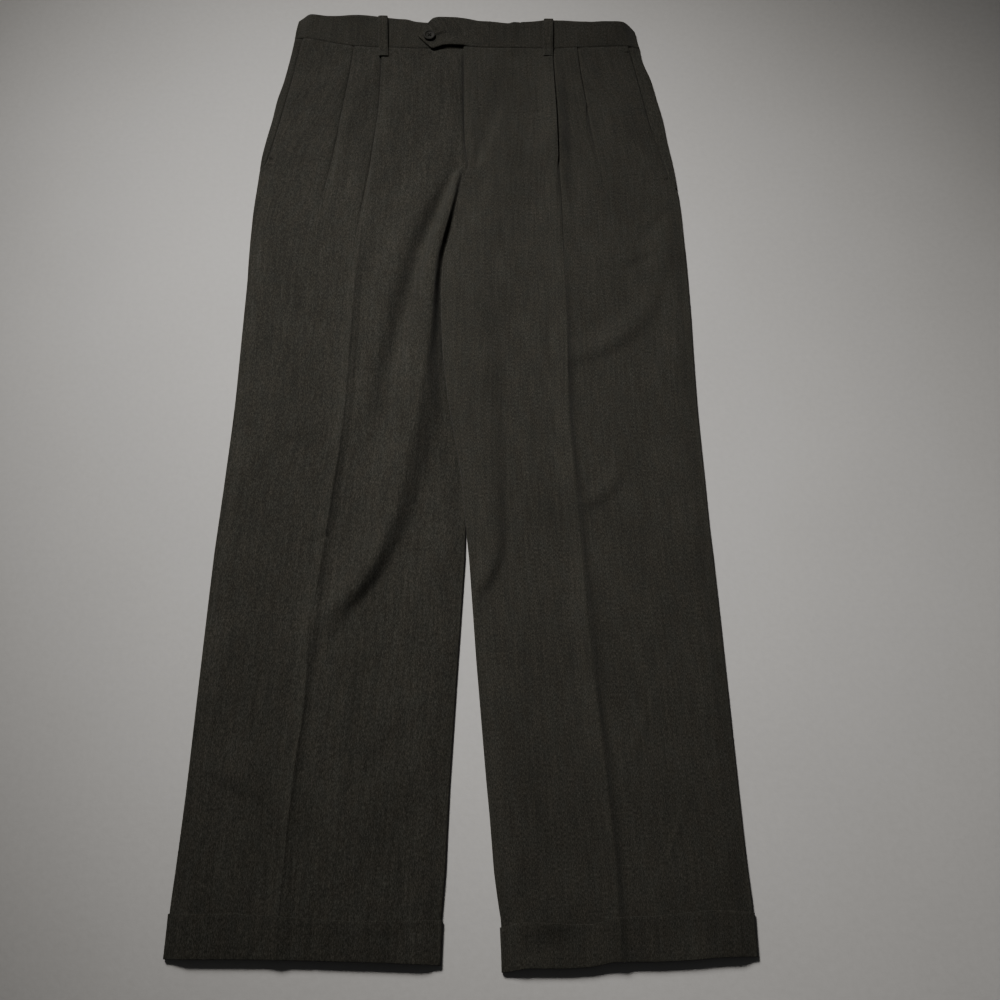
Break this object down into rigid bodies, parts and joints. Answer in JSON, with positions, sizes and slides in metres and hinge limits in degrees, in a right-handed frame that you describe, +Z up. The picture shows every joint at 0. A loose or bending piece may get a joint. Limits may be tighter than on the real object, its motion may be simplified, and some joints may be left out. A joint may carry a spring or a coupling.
{
  "type": "pleated dress trousers",
  "caption": "Dark wool dress trousers with reverse pleats, slant pockets, belt loops, a pointed waist tab and turned-up cuffs, laid flat on their back.",
  "frame": {"origin": "on the surface under the middle of the garment's box", "axes": "+Y from the hems to the waist, +X to the wearer's left, +Z up off the surface that the back lies on"},
  "size_m": [0.5174, 1.1, 0.0169],
  "materials": {
    "wool": "matte fine worsted wool",
    "horn": "satin dark horn"
  },
  "bodies": {
    "root": {"front_right": "wool", "front_left": "wool", "back_right": "wool", "back_left": "wool", "pocket_facing_right": "wool", "pocket_facing_left": "wool", "waistband_right": "wool", "waistband_left": "wool", "waist_tab": "wool", "belt_loop_right": "wool", "belt_loop_left": "wool", "cuff_right": "wool", "cuff_left": "wool", "button": "horn"}
  },
  "joints": []
}
